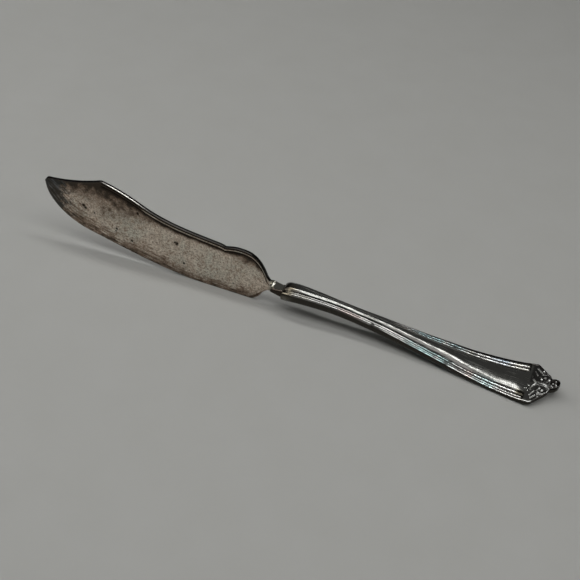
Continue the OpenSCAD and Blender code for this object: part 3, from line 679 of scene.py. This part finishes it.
def makeBlade():
    lineDepths = (blade["lineIn"], blade["lineIn"] + blade["lineGap"])
    rings = bladeRings(lineDepths)
    bm = bmesh.new()
    layers = {key: bm.verts.layers.float.new(key) for key in bladeMarks}
    rows, columns = len(rings) - 1, len(rings[0])
    made = bmesh.ops.create_grid(bm, x_segments=rows, y_segments=columns, size=1)
    for v in made["verts"]:
        ring = rings[round((v.co.x + 1) / 2 * rows)]
        (u, y, z), under, over, v[layers["line"]], darkening = ring[round((v.co.y + 1) / 2 * columns) % columns]
        # towards the handle the thread is bare and the stain starts below it
        stained = lookUp(tarnish["underSpine"], u)
        below = under - lineDepths[1] if under > lineDepths[1] else 3 * stained
        v[layers["underSpine"]] = mix(under, below, ramp(u, *tarnish["bareFrom"])) / stained
        v[layers["overEdge"]] = over / lookUp(tarnish["overEdge"], u)
        v[layers["edgeGap"]] = over
        v[layers["tip"]] = (u - noseAt) / tarnish["tipDepth"]
        v[layers["spineTop"]] = 1.0 if under < blade["spineCrown"] and over > 1 else 0.0
        # the rubbed line is a painted highlight, on the near half of the spine only
        rubHighlight = lookUp(tarnish["spineRubHighlight"], u)
        fromRub = abs(-y / blade["spineT"] * 2 - tarnish["rubAt"])  # on the near half of the spine only
        v[layers["rubHighlight"]] = rubHighlight * ridge(fromRub, mix(*tarnish["rubW"], rubHighlight))
        v[layers["darkening"]] = darkening
        v[layers["neck"]] = ramp(u, *tarnish["neckFrom"])
        v.co = Vector(((u - middle) * mm, y * mm, z * mm))
    bmesh.ops.remove_doubles(bm, verts=bm.verts[:], dist=0.002 * mm)
    bmesh.ops.holes_fill(bm, edges=[e for e in bm.edges if e.is_boundary], sides=0)
    return finishPiece(bm, "bladeVisual", "blade")


bladePiece = makeBlade()


def addNode(tree, kind, values=None, links=None, **settings):
    node = tree.nodes.new(kind)
    for key, value in settings.items():
        setattr(node, key, value)
    for key, value in (values or {}).items():
        node.inputs[key].default_value = value
    for key, source in (links or {}).items():
        tree.links.new(source, node.inputs[key])
    return node


def newMaterial(name):
    material = bpy.data.materials.new(name)
    material.use_nodes = True
    tree = material.node_tree
    coords = addNode(tree, "ShaderNodeTexCoord")
    inMm = addNode(tree, "ShaderNodeVectorMath", {"Scale": 1 / mm}, {0: coords.outputs["Object"]},
                   operation="SCALE")
    return material, tree, tree.nodes["Principled BSDF"], inMm.outputs[0]


def tarnishedNickelSilver():
    material, tree, shader, place = newMaterial("tarnishedNickelSilver")
    mark = {}
    for key in bladeMarks:
        mark[key] = addNode(tree, "ShaderNodeAttribute", attribute_name=key).outputs["Fac"]
    noise = {}
    for key in ("clouds", "mottle", "grain"):
        size, detail, roughness = tarnish[key]
        values = {"Scale": 1 / size, "Detail": detail, "Roughness": roughness}
        noise[key] = addNode(tree, "ShaderNodeTexNoise", values, {"Vector": place}).outputs[0]
    # wiping smears that run along the edge
    axes = addNode(tree, "ShaderNodeSeparateXYZ", links={0: place})
    alongEdge = addNode(tree, "ShaderNodeCombineXYZ", links={"X": axes.outputs["X"], "Y": mark["edgeGap"]})
    smearLen, smearW = tarnish["smear"]
    drawn = addNode(tree, "ShaderNodeVectorMath", {1: (1 / smearLen, 1 / smearW, 1)},
                    {0: alongEdge.outputs[0]}, operation="MULTIPLY")
    smear = addNode(tree, "ShaderNodeTexNoise", {"Scale": 1, "Detail": 5, "Roughness": 0.7},
                    {"Vector": drawn.outputs[0]}).outputs[0]
    # pale metal in two tones, under a thin film, brown grains and bright ones
    tone = addNode(tree, "ShaderNodeMapRange", {"From Min": 0.38, "From Max": 0.62},
                   {"Value": noise["clouds"]})
    colour = addNode(tree, "ShaderNodeMix", {6: hexColor(tarnish["pale"]), 7: hexColor(tarnish["grey"])},
                     {0: tone.outputs[0]}, data_type="RGBA")
    for key, low, high, most, shade in (
            ("mottle", 0.46, 0.62, 0.8, "film"), ("grain", 0.46, 0.68, 0.9, "brown"),
            ("grain", 0.46, 0.32, 1, "light")):
        cover = addNode(tree, "ShaderNodeMapRange", {"From Min": low, "From Max": high, "To Max": most},
                        {"Value": noise[key]})
        colour = addNode(tree, "ShaderNodeMix", {7: hexColor(tarnish[shade])},
                         {0: cover.outputs[0], 6: colour.outputs[2]}, data_type="RGBA")
    # brown, then nearly black, above the edge and under the spine; slate grey at the tip; all ragged
    rough = addNode(tree, "ShaderNodeMath", {1: 3.8, 2: -1.9}, {0: noise["mottle"]}, operation="MULTIPLY_ADD")
    drift = addNode(tree, "ShaderNodeMath", {1: 6.0, 2: -3.0}, {0: smear}, operation="MULTIPLY_ADD")
    streaky = addNode(tree, "ShaderNodeMath", {1: 1.0}, {0: rough.outputs[0], 2: drift.outputs[0]},
                      operation="MULTIPLY_ADD")
    bluish = addNode(tree, "ShaderNodeMapRange", {"From Min": 0.5, "From Max": 0.68}, {"Value": smear})
    slate = addNode(tree, "ShaderNodeMix", {6: hexColor(tarnish["slate"]), 7: hexColor(tarnish["blue"])},
                    {0: bluish.outputs[0]}, data_type="RGBA")
    for key, ragged, start, full, most, shade in (
            ("overEdge", streaky, 1.6, 0.5, 0.8, "brown"), ("overEdge", streaky, 0.6, -0.4, 0.8, "dark"),
            ("underSpine", rough, 1.7, 0.5, 0.8, "brown"), ("underSpine", rough, 1.0, 0.1, 0.95, "dark"),
            ("tip", rough, 1.5, 0.8, 0.88, "slate")):
        border = addNode(tree, "ShaderNodeMath", links={0: mark[key], 1: ragged.outputs[0]}, operation="ADD")
        cover = addNode(tree, "ShaderNodeMapRange", {"From Min": start, "From Max": full, "To Max": most},
                        {"Value": border.outputs[0]}, interpolation_type="SMOOTHSTEP")
        links = {0: cover.outputs[0], 6: colour.outputs[2]}
        if key == "tip":
            links[7] = slate.outputs[2]
        colour = addNode(tree, "ShaderNodeMix", {7: hexColor(tarnish[shade])}, links, data_type="RGBA")
    for u, z, r in tarnish["specks"]:  # on the near face only
        away = addNode(tree, "ShaderNodeVectorMath", {1: (u - middle, -0.5, z)}, {0: place},
                       operation="DISTANCE")
        ragged = addNode(tree, "ShaderNodeMath", {1: 1.6}, {0: noise["grain"], 2: away.outputs["Value"]},
                         operation="MULTIPLY_ADD")
        values = {"From Min": r + 0.95, "From Max": r + 0.65, "To Max": 0.95}
        spot = addNode(tree, "ShaderNodeMapRange", values, {"Value": ragged.outputs[0]})
        colour = addNode(tree, "ShaderNodeMix", {7: hexColor(tarnish["speck"])},
                         {0: spot.outputs[0], 6: colour.outputs[2]}, data_type="RGBA")
    # black spine, tarnish and painted shade, with a rubbed line on it as a painted highlight, black in the
    # incised lines, cleaner neck with painted shade on its near side
    spine = addNode(tree, "ShaderNodeMix", {6: hexColor(tarnish["spine"]), 7: hexColor(tarnish["rubbed"])},
                    {0: mark["rubHighlight"]}, data_type="RGBA")
    colour = addNode(tree, "ShaderNodeMix", data_type="RGBA",
                     links={0: mark["spineTop"], 6: colour.outputs[2], 7: spine.outputs[2]})
    for key, shade in (("line", "speck"), ("neck", "neck"), ("darkening", "dark")):
        colour = addNode(tree, "ShaderNodeMix", {7: hexColor(tarnish[shade])},
                         {0: mark[key], 6: colour.outputs[2]}, data_type="RGBA")
    tree.links.new(colour.outputs[2], shader.inputs["Base Color"])
    shader.inputs["Metallic"].default_value = 1
    values = {"From Min": 0.3, "From Max": 0.7, "To Min": 0.36, "To Max": 0.5}
    dull = addNode(tree, "ShaderNodeMapRange", values, {"Value": noise["mottle"]})
    worn = addNode(tree, "ShaderNodeMath", links={0: mark["spineTop"], 1: mark["neck"]}, operation="MAXIMUM")
    gloss = addNode(tree, "ShaderNodeMix", {3: 0.13}, {0: worn.outputs[0], 2: dull.outputs[0]},
                    data_type="FLOAT")
    tree.links.new(gloss.outputs[0], shader.inputs["Roughness"])
    bump = addNode(tree, "ShaderNodeBump", {"Strength": 0.4, "Distance": 0.06 * mm},
                   {"Height": noise["grain"]})
    tree.links.new(bump.outputs[0], shader.inputs["Normal"])
    return material


# silver plate, die-struck and polished by use: grey and bright on the high places, brown-black in the
# grooves, with painted shade on the sides, along the dome's foot and flank, on the edges, the slim part and
# the mouth, and a painted highlight on the near edge. Noise sizes are in mm, and the scratches are really
# hair-fine
plate = dict(silver="#989894", crest="#d8d8d5", groove="#24211e", side="#403d38", film="#55514b",
             cloud=5, wipe=1.6, dent=3.5, scratch=(7, 0.35), scratchTurn=0.6)


def tonedSilverPlate(name, worn):
    material, tree, shader, place = newMaterial(name)
    grimeAndShade, crest, side, scuff = [addNode(tree, "ShaderNodeAttribute", attribute_name=key).outputs["Fac"]
                                  for key in plateMarks]
    tone = addNode(tree, "ShaderNodeAttribute", attribute_name="toningAndShade")
    cloud = addNode(tree, "ShaderNodeTexNoise", {"Scale": 1 / plate["cloud"], "Detail": 4, "Roughness": 0.6},
                    {"Vector": place})
    wipe = addNode(tree, "ShaderNodeTexNoise", {"Scale": 1 / plate["wipe"], "Detail": 5, "Roughness": 0.65},
                   {"Vector": place})
    dent = addNode(tree, "ShaderNodeTexNoise", {"Scale": 1 / plate["dent"], "Detail": 2}, {"Vector": place})
    scratchLen, scratchW = plate["scratch"]
    slanted = addNode(tree, "ShaderNodeMapping", {"Rotation": (0, 0, plate["scratchTurn"]),
                                                  "Scale": (1 / scratchLen, 1 / scratchW, 1 / scratchLen)},
                      {"Vector": place})
    scratch = addNode(tree, "ShaderNodeTexNoise", {"Scale": 1, "Detail": 2}, {"Vector": slanted.outputs[0]})
    # bright on the crests, tinted by the toning and painted shade in patches, then filmed, dark in the
    # grooves and in painted shade, and painted shade on the sides
    patchy = addNode(tree, "ShaderNodeMapRange", {"From Min": 0.32, "From Max": 0.5},
                     {"Value": cloud.outputs[0]})
    toneShare = addNode(tree, "ShaderNodeMath", links={0: tone.outputs["Alpha"], 1: patchy.outputs[0]},
                        operation="MULTIPLY")
    rubbed = addNode(tree, "ShaderNodeMix", {6: hexColor(plate["silver"]), 7: hexColor(plate["crest"])},
                     {0: crest}, data_type="RGBA")
    colour = addNode(tree, "ShaderNodeMix", data_type="RGBA",
                     links={0: toneShare.outputs[0], 6: rubbed.outputs[2], 7: tone.outputs["Color"]})
    film = addNode(tree, "ShaderNodeMapRange", {"From Min": 0.45, "From Max": 0.7, "To Max": worn},
                   {"Value": wipe.outputs[0]})
    darkening = addNode(tree, "ShaderNodeMapRange", {"From Min": 0.2, "From Max": 0.7, "To Max": 0.92},
                    {"Value": grimeAndShade})
    for share, shade in ((film.outputs[0], "film"), (darkening.outputs[0], "groove"), (side, "side")):
        colour = addNode(tree, "ShaderNodeMix", {7: hexColor(plate[shade])}, {0: share, 6: colour.outputs[2]},
                         data_type="RGBA")
    tree.links.new(colour.outputs[2], shader.inputs["Base Color"])
    shader.inputs["Metallic"].default_value = 1
    values = {"From Min": 0.35, "From Max": 0.75, "To Min": 0.08, "To Max": 0.25}
    rough = addNode(tree, "ShaderNodeMapRange", values, {"Value": wipe.outputs[0]})
    scratched = addNode(tree, "ShaderNodeMapRange", {"From Min": 0.57, "From Max": 0.68},
                        {"Value": scratch.outputs[0]})
    scuffed = addNode(tree, "ShaderNodeMath", {1: 0.16}, {0: scratched.outputs[0], 2: rough.outputs[0]},
                      operation="MULTIPLY_ADD")
    hazed = addNode(tree, "ShaderNodeMath", {1: 0.11}, {0: scuff, 2: scuffed.outputs[0]},
                    operation="MULTIPLY_ADD")
    tree.links.new(hazed.outputs[0], shader.inputs["Roughness"])
    waver = addNode(tree, "ShaderNodeBump", {"Strength": 0.8, "Distance": 0.08 * mm},
                    {"Height": dent.outputs[0]})
    bump = addNode(tree, "ShaderNodeBump", {"Strength": 0.5, "Distance": 0.06 * mm},
                   {"Height": scratch.outputs[0], "Normal": waver.outputs[0]})
    tree.links.new(bump.outputs[0], shader.inputs["Normal"])
    return material


# soft solder, wiped on: dull grey and lumpy. Cast pitch: black-brown, slightly glossy. They hardly show until
# the handle is taken apart. Lumps are in mm
solder = dict(light="#8f8c85", dark="#6a675f", lumps=0.8, detail=3, metallic=1, roughness=0.42)
pitch = dict(light="#2b241d", dark="#3f362c", lumps=2, detail=4, metallic=0, roughness=0.6)


def lumpyFilling(name, look):
    material, tree, shader, place = newMaterial(name)
    lumps = addNode(tree, "ShaderNodeTexNoise", {"Scale": 1 / look["lumps"], "Detail": look["detail"]},
                    {"Vector": place})
    colour = addNode(tree, "ShaderNodeMix", {6: hexColor(look["light"]), 7: hexColor(look["dark"])},
                     {0: lumps.outputs[0]}, data_type="RGBA")
    tree.links.new(colour.outputs[2], shader.inputs["Base Color"])
    shader.inputs["Metallic"].default_value = look["metallic"]
    shader.inputs["Roughness"].default_value = look["roughness"]
    return material


bladePiece.data.materials.append(tarnishedNickelSilver())
handleFront.data.materials.append(tonedSilverPlate("tonedSilverPlate", 0.35))
handleBack.data.materials.append(tonedSilverPlate("plainSilverPlate", 0.55))
for nodeName, name, look in (("mouth_plate", "softSolder", solder), ("handle_cement", "castPitch", pitch)):
    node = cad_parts[nodeName]
    node.data.materials.clear()
    node.data.materials.append(lumpyFilling(name, look))
print("materials done")


# floor and light. A lamp has its place, what it is aimed at, its two sizes and its watts
studio = dict(
    floor="#92928e", floorLight="#979794", floorSize=3.0, floorDrop=0.05 * mm,
    world="#525251", worldLevel=1.0,
    lamps=[
        ("ceilingStrip", (-0.26, 0.1175, 0.6), (-0.26, 0.1175, 0), 1.0, 0.085, 1.75),
        ("frontFill", (-0.05, -0.16, 0.6), (-0.05, 0, 0), 2.4, 0.26, 5.5),
        ("leftFill", (-1.5, 0.1, 0.7), (0, 0, 0), 1.0, 0.8, 3.5),
        ("rightFill", (1.5, 0.1, 0.7), (0, 0, 0), 1.0, 0.8, 2.0),
    ],
)
floorMesh = bpy.data.meshes.new("floor")
bm = bmesh.new()
bmesh.ops.create_grid(bm, x_segments=1, y_segments=1, size=studio["floorSize"] / 2)
bm.to_mesh(floorMesh)
bm.free()
floor = bpy.data.objects.new("floor", floorMesh)
bpy.context.scene.collection.objects.link(floor)
floor.location.z = -studio["floorDrop"]
# grey paper, pressed smooth: an even matt grey, with soft clouds in place of fibres that are too fine to show
material, tree, shader, place = newMaterial("greyPaperSheet")
fibre = addNode(tree, "ShaderNodeTexNoise", {"Scale": 0.06, "Detail": 4}, {"Vector": place})
colour = addNode(tree, "ShaderNodeMix", {6: hexColor(studio["floor"]), 7: hexColor(studio["floorLight"])},
                 {0: fibre.outputs[0]}, data_type="RGBA")
tree.links.new(colour.outputs[2], shader.inputs["Base Color"])
shader.inputs["Roughness"].default_value = 0.7
floorMesh.materials.append(material)

world = bpy.data.worlds.new("room")
bpy.context.scene.world = world
world.use_nodes = True
background = world.node_tree.nodes["Background"]
background.inputs["Color"].default_value = hexColor(studio["world"])
background.inputs["Strength"].default_value = studio["worldLevel"]

for name, at, aim, sizeX, sizeY, watts in studio["lamps"]:
    lamp = bpy.data.lights.new(name, "AREA")
    lamp.shape = "RECTANGLE"
    lamp.size, lamp.size_y, lamp.energy = sizeX, sizeY, watts
    lampObject = bpy.data.objects.new(name, lamp)
    bpy.context.scene.collection.objects.link(lampObject)
    lampObject.location = at
    lampObject.rotation_euler = (Vector(aim) - Vector(at)).to_track_quat("-Z", "Y").to_euler()

# camera, fitted to the picture's outline of the knife
view = dict(azimuth=0.27174, elevation=0.72793, roll=0.12411, distance=0.364572,
            target=(-0.001084, 0, 0.008663), focal=1099.82, width=580, sensor=36)
az, el, roll = view["azimuth"], view["elevation"], view["roll"]
back = Vector((math.sin(az) * math.cos(el), -math.cos(az) * math.cos(el), math.sin(el)))
right = (-back).cross(Vector((0, 0, 1))).normalized()
up = right.cross(-back)
turnedRight = right * math.cos(roll) + up * math.sin(roll)
turnedUp = up * math.cos(roll) - right * math.sin(roll)
camera = bpy.data.cameras.new("camera")
camera.sensor_width = view["sensor"]
camera.lens = view["sensor"] * view["focal"] / view["width"]
camera.clip_start = 0.01
cameraObject = bpy.data.objects.new("camera", camera)
bpy.context.scene.collection.objects.link(cameraObject)
turned = Matrix((turnedRight, turnedUp, back)).transposed().to_4x4()
cameraObject.matrix_world = Matrix.Translation(Vector(view["target"]) + back * view["distance"]) @ turned
bpy.context.scene.camera = cameraObject
bpy.context.scene.view_settings.view_transform = "Standard"
print("floor, lamps and camera set")
